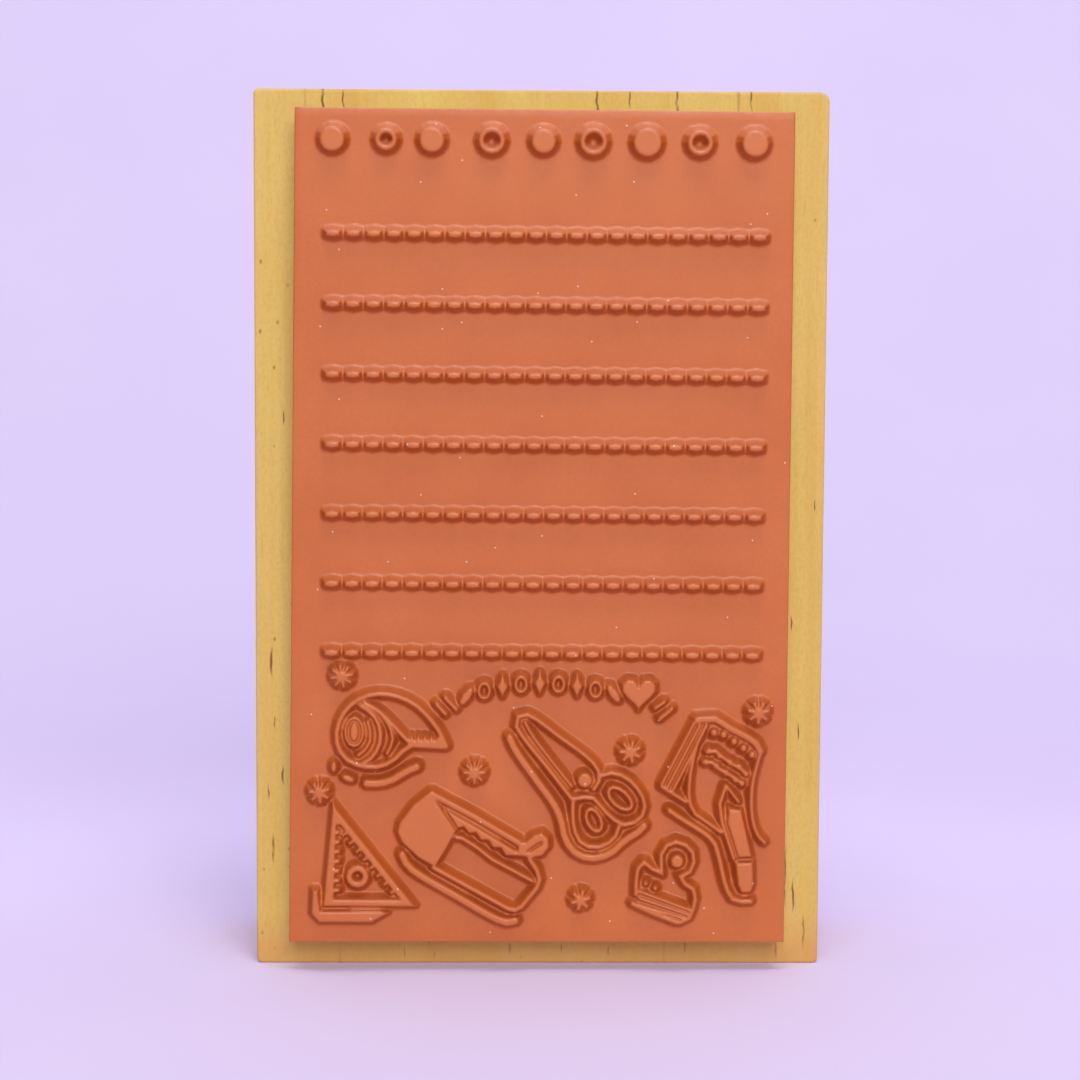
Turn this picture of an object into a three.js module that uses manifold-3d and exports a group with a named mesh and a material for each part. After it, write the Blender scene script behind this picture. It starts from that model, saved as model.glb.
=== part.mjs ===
// Wood-mounted rubber stamp: a pine block that carries a foam cushion and a moulded rubber die on its
// front, joined by double-sided film, and a paper index label on its back.
// Millimetres, +Z up. The block stands on its short end and prints towards -Y. The origin is under the
// middle of the whole stamp.

import * as THREE from 'three';
import * as BufferGeometryUtils from 'three/addons/utils/BufferGeometryUtils.js';
import Module from 'manifold-3d';

// The layers, from the back of the block to the printing surface. All are sixteenths of a millimetre,
// so that the faces of neighbouring layers meet exactly.
const LABEL_THICKNESS = 0.125;
const BLOCK_DEPTH = 20;
const FILM_THICKNESS = 0.125;
const FOAM_THICKNESS = 2.5;
const SHEET_THICKNESS = 1;
const RELIEF_HEIGHT = 1.25;

const BLOCK_WIDTH = 59.75;
const BLOCK_HEIGHT = 92;
const BLOCK_CORNER_RADII = { bottomLeft: 0.65, bottomRight: 0.55, topRight: 1.05, topLeft: 0.5 };
const BLOCK_EDGE_EASE = 0.3;

// The die was trimmed by hand, a little out of square, and stuck on with a slight turn.
// Its corners run anticlockwise from the lower left one, in millimetres from the foot of the block.
const DIE_CORNERS = [[-26.1, 3.06], [25.9, 3.3], [25.5, 89.76], [-25.7, 89.68]];
const DIE_TURN = THREE.MathUtils.degToRad(-0.3);
const DIE_TURN_CENTRE = new THREE.Vector3(0, 18, 0);
const FOAM_INSET = 0.2;
const FILM_INSET = 0.4;

const LABEL_WIDTH = 54;
const LABEL_HEIGHT = 86;
const LABEL_RADIUS = 2.5;

// The printed pattern: a row of pads, ruled lines made of beads, and small pictures below them.
const PAD_LEVEL = 86.45;
const RING_PAD_WALL = 0.66;
// Each pad: its place across the sheet and its radius.
const SOLID_PADS = [[-21.81, 1.35], [-11.66, 1.35], [-0.27, 1.32], [10.32, 1.53], [21.34, 1.44]];
const RING_PADS = [[-16.33, 1.22], [-5.56, 1.44], [4.82, 1.49], [15.72, 1.4]];
const RULED_LINES = { count: 7, top: 76.9, pitch: 7.19 };
const BEADS = { count: 22, first: -21.69, pitch: 2.077, length: 1.54, height: 0.84, endHeight: 0.54 };

const LINE_WIDTH = 0.55;
const FINE_LINE_WIDTH = 0.42;
const SHADOW_WIDTH = 0.85;
const LINE_END_REACH = 0.35; // how far a line's blunt end reaches past its last point, in line widths
const LINE_END_HALF_WIDTH = 0.25; // half the width of that blunt end, in line widths
const CURVE_STEP = 1.1; // the longest straight stretch of a curved line
const ARC_SEGMENTS = 5; // straight stretches in each quarter circle of a corner
const ROUND_SIDES = 12;
const PAD_SIDES = 14;
const HEART_SIDES = 18;
const TICKS = 8; // along each scale of the set square
const PETAL_SHARE = 0.43; // half of a petal's width, as a share of its half of the round
const PETAL_ROOT = 0.48; // where petals meet, as a share of the flower's radius
const ROOT_DEPTH = 0.5; // how far the relief's own solids reach into the sheet before they are joined

const COLOURS = {
  wood: 0xdcb56e,
  film: 0xf2efe6,
  foam: 0xe9e6df,
  rubber: 0xce744e,
  paper: 0xf4f1e8,
};

const wasm = await Module();
wasm.setup();

// ---- flat outlines ----

function shapeOf(points, holes = []) {
  const shape = new THREE.Shape(points.map(([x, y]) => new THREE.Vector2(x, y)));
  for (const hole of holes) {
    shape.holes.push(new THREE.Path(hole.map(([x, y]) => new THREE.Vector2(x, y))));
  }
  return shape;
}

/** Points of an oval, turned anticlockwise by a number of degrees. */
function oval(x, y, radiusX, radiusY, turn = 0, sides = ROUND_SIDES) {
  const tilt = THREE.MathUtils.degToRad(turn);
  return Array.from({ length: sides }, (_, i) => {
    const angle = (i / sides) * 2 * Math.PI;
    const along = radiusX * Math.cos(angle);
    const across = radiusY * Math.sin(angle);
    return [
      x + along * Math.cos(tilt) - across * Math.sin(tilt),
      y + along * Math.sin(tilt) + across * Math.cos(tilt),
    ];
  });
}

const disc = (x, y, radius, sides) => shapeOf(oval(x, y, radius, radius, 0, sides));

function ring(x, y, radiusX, radiusY, width, turn = 0) {
  const hole = oval(x, y, radiusX - width, radiusY - width, turn);
  return shapeOf(oval(x, y, radiusX, radiusY, turn), [hole]);
}

/** Points along a smooth curve through the given ones. */
function smooth(points) {
  const through = points.map(([x, y]) => new THREE.Vector3(x, y, 0));
  const route = new THREE.CatmullRomCurve3(through, false, 'centripetal');
  const steps = Math.max(3, Math.ceil(route.getLength() / CURVE_STEP));
  return route.getSpacedPoints(steps).map((point) => [point.x, point.y]);
}

/** The left and right edges of a line of some width, mitred at its corners. */
function edgesOf(path, width) {
  const last = path.length - 1;
  const edges = { left: [], right: [] };
  const unit = (from, to) => new THREE.Vector2(to[0] - from[0], to[1] - from[1]).normalize();
  path.forEach((here, i) => {
    const into = i === 0 ? unit(here, path[1]) : unit(path[i - 1], here);
    const out = i === last ? into : unit(here, path[i + 1]);
    const sum = into.clone().add(out).normalize();
    const reach = width / 2 / Math.max(0.5, sum.dot(into));
    edges.left.push([here[0] - sum.y * reach, here[1] + sum.x * reach]);
    edges.right.push([here[0] + sum.y * reach, here[1] - sum.x * reach]);
  });
  return edges;
}

/** The two points that blunt the end of a line, going round from its left edge at the path's last point. */
function endOf(path, width) {
  const [tip, before] = [path.at(-1), path.at(-2)];
  const along = new THREE.Vector2(tip[0] - before[0], tip[1] - before[1]).normalize();
  const out = along.clone().multiplyScalar(width * LINE_END_REACH);
  const side = new THREE.Vector2(-along.y, along.x).multiplyScalar(width * LINE_END_HALF_WIDTH);
  return [
    [tip[0] + out.x + side.x, tip[1] + out.y + side.y],
    [tip[0] + out.x - side.x, tip[1] + out.y - side.y],
  ];
}

/** A line with blunt ends along a path of points. */
function line(path, width = LINE_WIDTH) {
  const { left, right } = edgesOf(path, width);
  const start = endOf([...path].reverse(), width);
  return shapeOf([...left, ...endOf(path, width), ...right.reverse(), ...start]);
}

const curve = (points, width = LINE_WIDTH) => line(smooth(points), width);

/** A straight mark with square ends. */
function bar(from, to, width) {
  const { left, right } = edgesOf([from, to], width);
  return shapeOf([...left, ...right.reverse()]);
}

// ---- the pictures, each a list of flat shapes ----

/** A flower mark with blunt petals. */
function flower(x, y, petals, turn, radius = 1.25) {
  const petalHalfAngle = (Math.PI / petals) * PETAL_SHARE;
  const points = [];
  for (let i = 0; i < petals; i += 1) {
    const angle = THREE.MathUtils.degToRad(turn) + (i / petals) * 2 * Math.PI;
    const corners = [
      [angle - petalHalfAngle, radius],
      [angle + petalHalfAngle, radius],
      [angle + Math.PI / petals, radius * PETAL_ROOT],
    ];
    for (const [at, from] of corners) points.push([x + from * Math.cos(at), y + from * Math.sin(at)]);
  }
  return shapeOf(points);
}

function padRow() {
  return [
    ...SOLID_PADS.map(([x, radius]) => disc(x, PAD_LEVEL, radius, PAD_SIDES)),
    ...RING_PADS.map(([x, radius]) => ring(x, PAD_LEVEL, radius, radius, RING_PAD_WALL)),
  ];
}

/** A barrel lying on its side, with flat ends and a fuller middle. */
function bead(x, y) {
  const [left, right] = [x - BEADS.length / 2, x + BEADS.length / 2];
  const [end, middle] = [BEADS.endHeight / 2, BEADS.height / 2];
  return shapeOf([
    [left, y - end], [x, y - middle], [right, y - end], [right, y + end], [x, y + middle], [left, y + end],
  ]);
}

function ruledLines() {
  const shapes = [];
  for (let row = 0; row < RULED_LINES.count; row += 1) {
    const y = RULED_LINES.top - row * RULED_LINES.pitch;
    for (let i = 0; i < BEADS.count; i += 1) {
      shapes.push(bead(BEADS.first + i * BEADS.pitch, y));
    }
  }
  return shapes;
}

/** A heart as wide as twice its half width, about its middle. */
function heart(x, y, halfWidth) {
  const points = Array.from({ length: HEART_SIDES }, (_, i) => {
    const angle = (i / HEART_SIDES) * 2 * Math.PI;
    const rise = 13 * Math.cos(angle) - 5 * Math.cos(2 * angle)
      - 2 * Math.cos(3 * angle) - Math.cos(4 * angle);
    return [x - halfWidth * Math.sin(angle) ** 3, y + (halfWidth * rise) / 16];
  });
  return shapeOf(points);
}

/** A garland of rings, lozenges and leaves between two pairs of slanted strokes, with a heart at one end. */
function garland() {
  const arc = new THREE.QuadraticBezierCurve(
    new THREE.Vector2(-7.7, 29.3),
    new THREE.Vector2(-1, 31.9),
    new THREE.Vector2(7.6, 29.7),
  );
  const charms = ['leaf', 'ring', 'lozenge', 'ring', 'lozenge', 'ring', 'lozenge', 'ring', 'leaf'];
  const shapes = charms.map((charm, i) => {
    const { x, y } = arc.getPointAt(i / (charms.length - 1));
    if (charm === 'ring') return ring(x, y, 0.78, 1, 0.42);
    if (charm === 'lozenge') return shapeOf([[x - 0.6, y], [x, y - 1.15], [x + 0.6, y], [x, y + 1.15]]);
    return shapeOf(oval(x, y, 1.15, 0.5, i === 0 ? 55 : 125, 8));
  });
  return [
    ...shapes,
    heart(10.2, 29.9, 1.85),
    line([[-10.8, 28.5], [-9.8, 27.4]], 0.5),
    line([[-9.9, 29.2], [-8.7, 27.9]], 0.5),
    line([[12.9, 28.9], [11.9, 28.2]], 0.45),
    line([[13.7, 28.2], [12.4, 27.1]], 0.5),
  ];
}

function tapeDispenser() {
  const teeth = [];
  for (let i = 0; i < 5; i += 1) {
    const x = -10.6 - i * 0.68;
    teeth.push([x, 25.15], [x - 0.34, 24.75]);
  }
  return [
    curve([
      [-9.7, 24], [-10.4, 25.5], [-11.5, 27], [-13, 28.4], [-15, 29.3], [-17, 29.5], [-18.9, 28.9],
      [-20.4, 27.5], [-21.1, 25.6], [-20.9, 23.8], [-19.9, 22.5], [-18.3, 21.9], [-16.6, 21.9],
      [-15.2, 22.6], [-14.3, 23.5], [-13.4, 24.1],
    ], 0.6),
    shapeOf([[-14, 23.9], [-9.8, 23.7], [-9.7, 24.7], ...teeth]),
    curve([[-18.3, 28.6], [-16.8, 27.7], [-15.4, 26.4], [-14.3, 25.2], [-13.6, 24.5]]),
    curve([[-18.7, 28.3], [-17.4, 27.4], [-16.7, 26.1], [-16.6, 24.6], [-17.3, 23], [-18.4, 22.2]]),
    curve([[-16.4, 27.2], [-15.6, 26], [-15.3, 24.7], [-15.9, 23.2]], FINE_LINE_WIDTH),
    curve([[-17.9, 26.6], [-17.6, 25.3], [-17.8, 24.1], [-18.9, 23]], FINE_LINE_WIDTH),
    ring(-19.3, 25.5, 1.1, 1.65, 0.36),
    shapeOf(oval(-19.3, 25.5, 0.5, 1.02)),
    shapeOf(oval(-21.4, 21.8, 0.35, 0.6, 0, 8)),
    shapeOf(oval(-19.9, 20.6, 0.75, 0.38, -20, 8)),
    curve([[-18.1, 20.1], [-16.6, 20.1], [-15.1, 20.6], [-13.9, 21.4], [-12.7, 21.9]], SHADOW_WIDTH),
  ];
}

function setSquare() {
  const shapes = [
    shapeOf([[-22.5, 7.1], [-12.8, 7.1], [-21.5, 18]], [[[-21.3, 7.9], [-14.5, 7.9], [-21.05, 16.1]]]),
    ring(-18.9, 10.3, 1.25, 1.25, 0.75),
    shapeOf([
      [-23.6, 8.8], [-23.7, 6.3], [-22.9, 5.4], [-17.4, 5.4], [-15.7, 6.4], [-16.4, 6.7], [-22.7, 6.6],
      [-23, 8.8],
    ]),
  ];
  for (let i = 0; i < TICKS; i += 1) {
    const y = 8.8 + i * 1.02;
    shapes.push(bar([-21.6, y], [-20.72, y], 0.48));
  }
  for (let i = 0; i < TICKS; i += 1) {
    const [x, y] = [-14.9 - i * 0.72, 9 + i * 0.86];
    shapes.push(bar([x, y], [x - 0.6, y - 0.5], 0.38));
  }
  return shapes;
}

function stapler() {
  return [
    shapeOf([
      [-11.4, 19.4], [-13.2, 17.9], [-14.6, 16], [-14.8, 15], [-14.3, 13.9], [-12.6, 12.3], [-10.8, 11.3],
      [-9.6, 13.3], [-8.6, 15.2], [-10.2, 17.6],
    ]),
    line([[-11.3, 19.1], [-6.8, 16.7], [-2, 13.9]], 0.75),
    shapeOf([
      [-9.8, 17.5], [-8.5, 15.4], [-7.9, 15.6], [-7.3, 14.9], [-6.6, 15], [-6.1, 14.2], [-5.3, 14.2],
      [-4.8, 13.4], [-4, 13.4], [-3.5, 12.6], [-1.4, 12.5], [-2.6, 13.3], [-6.9, 15.9],
    ]),
    shapeOf([
      [-2.3, 12.7], [-0.9, 12.3], [0.4, 12.6], [1.1, 13.5], [1, 14.5], [0.3, 15.1], [-0.6, 14.8],
      [-1.4, 14.1], [-2.2, 14.1],
    ], [[[-1.2, 13.1], [-0.9, 13.1], [0.3, 13.9], [0.2, 14.1]]]),
    line([[-8.7, 14.5], [-8, 14.4], [-6.4, 13.4], [-4.9, 12.2], [-0.6, 9.9]], 0.5),
    line([
      [-11, 11.3], [-3.2, 7], [-2.5, 6.8], [-1.8, 7.2], [-0.2, 9.2], [0.1, 10.1], [-0.2, 11.1], [-1, 12.3],
    ], 0.6),
    curve([
      [-14.3, 12.7], [-13.7, 11.5], [-12.6, 10.6], [-9, 8.5], [-4.2, 5.8], [-3.2, 5.5], [-2.3, 5.7],
    ], SHADOW_WIDTH),
  ];
}

function scissors() {
  return [
    curve([
      [3.4, 18.6], [0.9, 21.8], [-1.7, 25], [-2.5, 26.3], [-2.4, 27.1], [-1.7, 27.5], [-0.8, 27.2],
      [2.1, 25.1], [5.2, 22.8], [6.1, 21.7], [6.2, 20.6], [5.6, 19.6],
    ]),
    curve([[3.4, 19.9], [1.3, 22.5], [-0.9, 25.4], [-1.6, 26.7]], FINE_LINE_WIDTH),
    disc(4.7, 20.6, 0.82),
    curve([
      [6.4, 21.1], [7.6, 21.4], [9, 20.9], [10.1, 19.9], [10.9, 18.5], [10.9, 17.2], [10.1, 16.3], [9, 15.9],
      [7.9, 16.4], [6.7, 17.5], [5.5, 18.8], [3.5, 18.6],
    ]),
    ring(8.4, 18.7, 1.75, 1.05, 0.48, -42),
    curve([
      [3.5, 18.3], [3.5, 16.8], [3.7, 15.3], [4.4, 14], [5.6, 13.5], [6.9, 13.8], [7.9, 14.6], [8.3, 15.7],
    ]),
    ring(5.7, 16.4, 0.95, 1.5, 0.48, 25),
    curve([
      [-3.2, 25.1], [-2.6, 23.8], [-0.5, 20.8], [1.6, 17.9], [2.3, 16.3], [2.7, 14.5], [3.6, 13.1], [5, 12.4],
      [6.5, 12.5], [7.9, 13.2], [8.9, 14.3], [10, 14.9], [11, 15.9],
    ], SHADOW_WIDTH),
  ];
}

function memoPad() {
  const coils = [[18.1, 25.7], [19.1, 25.5], [20.2, 24.8], [21.2, 24.1], [22.1, 23.4]];
  const lumps = [
    [17.6, 23.75], [18.7, 23.3], [19.8, 22.6], [20.8, 22.1], [21.5, 21.4],
    [17.3, 22.6], [18.4, 22.2], [19.4, 21.5], [20.4, 20.8], [21.1, 20.4],
  ];
  const pageEdges = [0, 0.62, 1.24].map((step) => (
    line([[16 + step, 26.7 - step * 0.3], [12.7 + step, 20.2 - step * 0.4]], 0.45)
  ));
  return [
    ...pageEdges,
    line([[12.7, 20], [15.3, 18.4]], 0.5),
    curve([[16.2, 27], [18.4, 27.1], [19.5, 26.3], [20.9, 25.6], [22.4, 24.7], [23, 23.7]], 0.8),
    ...coils.map(([x, y]) => disc(x, y, 0.42, 8)),
    ...lumps.map(([x, y]) => disc(x, y, 0.37, 8)),
    curve([
      [17.3, 26.5], [16.4, 24.7], [15.9, 22.6], [15.6, 20.4], [15.7, 18.3], [16.2, 17.2], [17.5, 16.3],
      [19, 15.2],
    ], 0.5),
    curve([
      [23, 23.8], [22.6, 22.3], [22.2, 20.5], [22.1, 18.4], [22.3, 16.4], [22.8, 15], [23.6, 14.1],
    ], 0.5),
    curve([[17.3, 23.7], [18.2, 23.8], [19.2, 23], [20.2, 22.3], [20.9, 22], [21.6, 21.3]], 0.5),
    curve([[17, 22.6], [17.9, 22.6], [18.8, 21.8], [19.8, 21.3], [21.1, 20.4]], 0.5),
    curve([
      [13.5, 17.5], [15, 16.5], [17.4, 15], [18.3, 14.1], [18.9, 12.2], [19.7, 9.2], [20.5, 8], [22.3, 7.9],
    ], 0.62),
  ];
}

function pencil() {
  return [
    line([[19.4, 20.1], [18.8, 18.2], [19.1, 16.2], [20.4, 12.4]], 0.5),
    line([[19.5, 20.1], [20.8, 18.4]], 0.4),
    shapeOf([[19.7, 17.8], [21.1, 17.6], [22.3, 12.6], [20.8, 12.5], [19.6, 16.2]]),
    shapeOf([[20.5, 12], [22.4, 12.1], [22.5, 9.6], [22.2, 8.8], [21.2, 8.8], [20.8, 9.6]]),
  ];
}

function binderClip() {
  const ribs = [0, 0.72, 1.44].map((step) => (
    line([[10.5, 8.9 - step], [15.9 - step * 0.35, 6.9 - step * 0.62]], 0.4)
  ));
  return [
    curve([
      [11, 12], [12, 11.2], [13, 10.9], [12.7, 12.2], [13, 13.4], [13.9, 14.1], [15, 14], [16, 13.2],
      [16.2, 12], [15.7, 10.9], [14.7, 10.3], [15.6, 9.5], [16.4, 8.9], [16.3, 7.6], [15.8, 6.1], [14.8, 5.6],
    ]),
    curve([[11, 12], [10.4, 11.4], [10.2, 9.9], [10.2, 8.5]]),
    line([[9.8, 7.6], [12.2, 6.5], [14.6, 5.6]], 0.6),
    disc(14.45, 12.1, 0.72),
    disc(11.2, 9.7, 0.3, 6),
    disc(12.2, 9.2, 0.3, 6),
    ...ribs,
  ];
}

function flowers() {
  return [
    flower(-20.6, 31.3, 8, 10),
    flower(-6.8, 21.3, 8, 0),
    flower(-22.9, 19.1, 7, 20, 1.2),
    flower(9.4, 23.6, 7, 25),
    flower(22.7, 27.8, 7, 12),
    flower(4.4, 7.9, 6, 15, 1.15),
  ];
}

function reliefShapes() {
  return [
    ...padRow(),
    ...ruledLines(),
    ...garland(),
    ...tapeDispenser(),
    ...setSquare(),
    ...stapler(),
    ...scissors(),
    ...memoPad(),
    ...pencil(),
    ...binderClip(),
    ...flowers(),
  ];
}

// ---- solids ----

/** A flat shape given thickness, from one level to another above the front of the block. */
function plate(shape, from, to) {
  const geometry = new THREE.ExtrudeGeometry(shape, {
    depth: to - from,
    bevelEnabled: false,
    curveSegments: ARC_SEGMENTS,
  });
  return geometry.translate(0, 0, from);
}

function solidOf(geometry) {
  const bare = geometry.clone();
  bare.deleteAttribute('normal');
  bare.deleteAttribute('uv');
  const welded = BufferGeometryUtils.mergeVertices(bare, 1e-4);
  return new wasm.Manifold(new wasm.Mesh({
    numProp: 3,
    vertProperties: Float32Array.from(welded.attributes.position.array),
    triVerts: Uint32Array.from(welded.index.array),
  }));
}

function geometryOf(solid) {
  const { vertProperties, triVerts } = solid.getMesh();
  const geometry = new THREE.BufferGeometry();
  geometry.setAttribute('position', new THREE.BufferAttribute(vertProperties, 3));
  geometry.setIndex(new THREE.BufferAttribute(triVerts, 1));
  geometry.computeVertexNormals();
  return geometry;
}

/** The die's outline, drawn in by an even margin. */
function dieOutline(inset) {
  const middle = (DIE_CORNERS[0][1] + DIE_CORNERS[2][1]) / 2;
  return shapeOf(DIE_CORNERS.map(([x, y]) => [x - Math.sign(x) * inset, y - Math.sign(y - middle) * inset]));
}

/** A rectangle with its lower left corner at x, y and a radius of its own at each corner. */
function roundedRectangle(x, y, width, height, radii) {
  const shape = new THREE.Shape();
  const corner = (cx, cy, radius, from) => shape.absarc(cx, cy, radius, from, from + Math.PI / 2);
  const [right, top] = [x + width, y + height];
  corner(x + radii.bottomLeft, y + radii.bottomLeft, radii.bottomLeft, Math.PI);
  corner(right - radii.bottomRight, y + radii.bottomRight, radii.bottomRight, 1.5 * Math.PI);
  corner(right - radii.topRight, top - radii.topRight, radii.topRight, 0);
  corner(x + radii.topLeft, top - radii.topLeft, radii.topLeft, 0.5 * Math.PI);
  shape.closePath();
  return shape;
}

/** The moulded sheet, from its back level, with the whole relief in one piece with it. */
function rubberDie(back) {
  const front = back + SHEET_THICKNESS;
  let die = solidOf(plate(dieOutline(0), back, front));
  for (const shape of reliefShapes()) {
    die = die.add(solidOf(plate(shape, front - ROOT_DEPTH, front + RELIEF_HEIGHT)));
  }
  return geometryOf(die);
}

function woodBlock() {
  const outline = roundedRectangle(-BLOCK_WIDTH / 2, 0, BLOCK_WIDTH, BLOCK_HEIGHT, BLOCK_CORNER_RADII);
  const geometry = new THREE.ExtrudeGeometry(outline, {
    depth: BLOCK_DEPTH - 2 * BLOCK_EDGE_EASE,
    bevelThickness: BLOCK_EDGE_EASE,
    bevelSize: BLOCK_EDGE_EASE,
    bevelOffset: -BLOCK_EDGE_EASE,
    bevelSegments: 2,
    curveSegments: ARC_SEGMENTS,
  });
  return geometry.translate(0, 0, BLOCK_EDGE_EASE - BLOCK_DEPTH);
}

function indexLabel() {
  const radii = {
    bottomLeft: LABEL_RADIUS, bottomRight: LABEL_RADIUS, topRight: LABEL_RADIUS, topLeft: LABEL_RADIUS,
  };
  const foot = (BLOCK_HEIGHT - LABEL_HEIGHT) / 2;
  const outline = roundedRectangle(-LABEL_WIDTH / 2, foot, LABEL_WIDTH, LABEL_HEIGHT, radii);
  return plate(outline, -BLOCK_DEPTH - LABEL_THICKNESS, -BLOCK_DEPTH);
}

// ---- assembly ----

function part(name, geometry, colour, roughness) {
  const material = new THREE.MeshStandardMaterial({ color: colour, roughness, metalness: 0 });
  const mesh = new THREE.Mesh(geometry, material);
  mesh.name = name;
  return mesh;
}

const foamBack = FILM_THICKNESS;
const foamFront = foamBack + FOAM_THICKNESS;
const dieBack = foamFront + FILM_THICKNESS;
const stackHeight = dieBack + SHEET_THICKNESS + RELIEF_HEIGHT;

// What is stuck on the block, turned a little about the middle of the pictures.
const stack = new THREE.Group();
stack.add(
  part('block_adhesive', plate(dieOutline(FILM_INSET), 0, foamBack), COLOURS.film, 0.5),
  part('foam_cushion', plate(dieOutline(FOAM_INSET), foamBack, foamFront), COLOURS.foam, 0.9),
  part('die_adhesive', plate(dieOutline(FILM_INSET), foamFront, dieBack), COLOURS.film, 0.5),
  part('rubber_die', rubberDie(dieBack), COLOURS.rubber, 0.7),
);
stack.rotation.z = DIE_TURN;
stack.position.copy(DIE_TURN_CENTRE).sub(DIE_TURN_CENTRE.clone().applyEuler(stack.rotation));

// The front of the block is the plane z = 0 of this group, and its print side is +Z.
const stamp = new THREE.Group();
stamp.add(
  part('wood_block', woodBlock(), COLOURS.wood, 0.65),
  part('index_label', indexLabel(), COLOURS.paper, 0.85),
  stack,
);
stamp.rotation.x = Math.PI / 2;
stamp.position.y = stackHeight - (stackHeight + BLOCK_DEPTH + LABEL_THICKNESS) / 2;

const model = new THREE.Group();
model.add(stamp);

export default model;
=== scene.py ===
"""The looks of a wood-mounted rubber stamp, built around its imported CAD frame. Metres, +Z up."""

import math

import bpy
import numpy as np
from mathutils import Matrix, Vector


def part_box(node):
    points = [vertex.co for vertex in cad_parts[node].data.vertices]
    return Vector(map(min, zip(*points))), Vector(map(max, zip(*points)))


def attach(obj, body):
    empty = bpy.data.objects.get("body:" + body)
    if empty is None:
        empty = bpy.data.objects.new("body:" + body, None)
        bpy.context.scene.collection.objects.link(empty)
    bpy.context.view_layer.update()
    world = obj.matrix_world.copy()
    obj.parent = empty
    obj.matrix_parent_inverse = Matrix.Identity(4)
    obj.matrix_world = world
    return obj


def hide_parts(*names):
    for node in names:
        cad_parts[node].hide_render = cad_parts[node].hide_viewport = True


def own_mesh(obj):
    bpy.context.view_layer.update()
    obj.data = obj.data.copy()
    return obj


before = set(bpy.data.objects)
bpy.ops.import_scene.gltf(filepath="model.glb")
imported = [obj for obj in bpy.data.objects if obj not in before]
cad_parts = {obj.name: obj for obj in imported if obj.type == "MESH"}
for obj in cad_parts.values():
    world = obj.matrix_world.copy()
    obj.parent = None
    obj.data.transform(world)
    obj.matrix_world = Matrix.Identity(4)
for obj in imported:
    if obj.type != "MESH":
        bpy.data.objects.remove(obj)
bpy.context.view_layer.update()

MM = 0.001
PLANE_TOLERANCE = 0.002 * MM
# Corners nearer than this are one corner.
SAME_PLACE = 0.1 * PLANE_TOLERANCE

# The block, the foam and the die sit between these planes of the frame.
BLOCK_LOW, BLOCK_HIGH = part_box("wood_block")
FOAM_LOW, FOAM_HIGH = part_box("foam_cushion")
DIE_LOW, DIE_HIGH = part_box("rubber_die")
LABEL_LOW, LABEL_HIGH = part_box("index_label")

# The camera, relative to the foot of the block's front face.
CAMERA_OFFSET = Vector((-5.1, -261.8, 67.5)) * MM
CAMERA_YAW = math.radians(1.118)
CAMERA_PITCH = math.radians(-4.854)
CAMERA_ROLL = math.radians(0.303)
CAMERA_LENS = 83.33
SENSOR_WIDTH = 36

# The block's corners, seen from the front, and the easing of its edges.
CORNER_RADII = {
    "low_right": 0.55 * MM,
    "high_right": 1.05 * MM,
    "high_left": 0.5 * MM,
    "low_left": 0.65 * MM,
}
BLOCK_EASE = 0.26 * MM
EASE_VARIATION = 0.1 * MM
EASE_STEPS = 5
CORNER_STEPS = 8
OUTLINE_SPACING = 1.5 * MM

# The moulded rubber.
RELIEF_GRID = 0.1 * MM
COARSEST_LEVEL = 3
SHOULDER_WIDTH = 0.54 * MM
SHOULDER_CURVE = 1.3
TOP_ROUNDING = 0.3 * MM
STEEPEST = 3.0
SOFTENING = np.array([1, 2, 1]) / 4
# Narrow gaps don't reach the floor: half their width in grid steps, and the share of the full height
# that they stop at.
SHALLOW_GAPS = ((5, 0.22), (4, 0.36), (3, 0.54), (2, 0.72))
FLAT_ENOUGH = 0.004 * MM
SHEET_THICKNESS = 1.0 * MM
SHEET_EDGE_RADIUS = 0.16 * MM
SHEET_EDGE_STEPS = 4
CUT_WAVINESS = 0.03 * MM
# Where the cut side has rings of points, behind the sheet's floor, and how far each is drawn in.
CUT_LEVELS = ((0.4 * MM, 0.0), (0.7 * MM, 0.0), (0.97 * MM, 0.0), (SHEET_THICKNESS, 0.03 * MM))

# The foam's cut sides: points along each side, rings through the depth, and how far they draw in.
FOAM_SIDE_POINTS = (48, 80, 48, 80)
FOAM_RINGS = 8
FOAM_HOLLOW = 0.16 * MM
FOAM_RAGGEDNESS = 0.03 * MM

# The label and the ink on it.
INK_THICKNESS = 0.01 * MM
LABEL_RADIUS = 2.5 * MM
LABEL_EDGE = 0.03 * MM

# The growth rings' axis, behind the block and to one side, and the dark dashes on the block's front:
# place across and up, half width and half length, all in millimetres.
RING_AXIS = (-14 * MM, 52 * MM, 0)
RING_SPACING = 2.7 * MM
GRAIN_MARKS = [
    (-22.7, 91.0, 0.13, 2.6), (-20.6, 90.8, 0.09, 1.3), (5.7, 90.9, 0.12, 1.9), (9.1, 91.2, 0.08, 1.0),
    (14.0, 90.6, 0.12, 2.2), (21.7, 91.2, 0.1, 1.4), (-28.2, 32.3, 0.13, 1.5), (-27.9, 25.9, 0.08, 0.7),
    (-28.6, 18.4, 0.08, 0.9), (-28.1, 12.4, 0.12, 1.6), (-26.9, 58.0, 0.07, 0.8), (-27.0, 20.2, 0.1, 1.0),
    (-14.2, 1.2, 0.06, 0.6), (-11.0, 0.9, 0.06, 0.4), (-10.1, 2.5, 0.11, 0.35), (-3.0, 1.6, 0.14, 0.6),
    (2.5, 1.6, 0.08, 0.6), (7.5, 1.4, 0.09, 0.6), (15.7, 1.7, 0.13, 0.7), (25.4, 1.5, 0.11, 1.1),
    (26.6, 36.5, 0.08, 0.8), (27.5, 25.0, 0.08, 1.0),
    (26.3, 9.4, 0.11, 3.1), (27.2, 7.3, 0.1, 1.8), (28.3, 3.4, 0.09, 1.9), (28.9, 49.0, 0.07, 0.7),
]

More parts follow.
